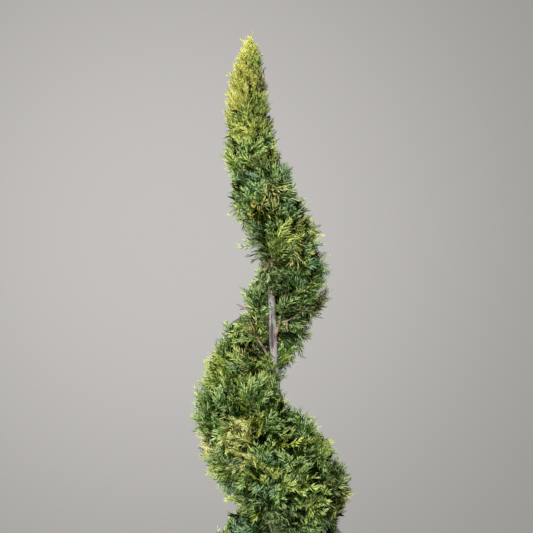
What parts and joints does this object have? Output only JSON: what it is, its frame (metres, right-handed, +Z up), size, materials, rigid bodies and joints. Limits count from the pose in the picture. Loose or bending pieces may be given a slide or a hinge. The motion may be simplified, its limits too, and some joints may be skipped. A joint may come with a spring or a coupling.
{
  "type": "spiral topiary",
  "caption": "Slim clipped conifer whose foliage winds down a leaning trunk as a spiral band below a pointed spire, in a plain round pot.",
  "frame": {"origin": "centre of the pot's flat underside", "axes": "+Z up along the trunk, +X to the crown's right-hand side, -Y to its front"},
  "size_m": [0.308, 0.3087, 1.638],
  "materials": {
    "pot_plastic": "matte charcoal plastic",
    "potting_soil": "dark moist compost",
    "bark": "thin grey-mauve bark",
    "golden_foliage": "matte golden-green scale leaves",
    "green_foliage": "matte green scale leaves"
  },
  "bodies": {
    "root": {"pot": "pot_plastic", "potting_soil": "potting_soil", "trunk": "bark", "bough_left": "bark", "bough_right": "bark", "bough_right_arm": "bark", "bough_1": "bark", "bough_2": "bark", "bough_3": "bark", "bough_4": "bark", "bough_5": "bark", "bough_6": "bark", "bough_7": "bark", "bough_8": "bark", "bough_9": "bark", "bough_foot_1": "bark", "bough_foot_2": "bark", "bough_foot_3": "bark", "spire_tip": "golden_foliage", "spire_foot": "golden_foliage", "foliage_01": "green_foliage", "foliage_02": "green_foliage", "foliage_03": "green_foliage", "foliage_04": "green_foliage", "foliage_05": "green_foliage", "foliage_06": "green_foliage", "foliage_07": "green_foliage", "foliage_08": "green_foliage", "foliage_09": "green_foliage", "foliage_10": "green_foliage", "foliage_11": "green_foliage", "foliage_12": "green_foliage", "foliage_13": "green_foliage", "foliage_14": "green_foliage", "foliage_15": "green_foliage", "foliage_16": "green_foliage", "foliage_17": "green_foliage", "foliage_18": "green_foliage", "foliage_19": "green_foliage", "foliage_20": "green_foliage", "foliage_21": "green_foliage"}
  },
  "joints": []
}
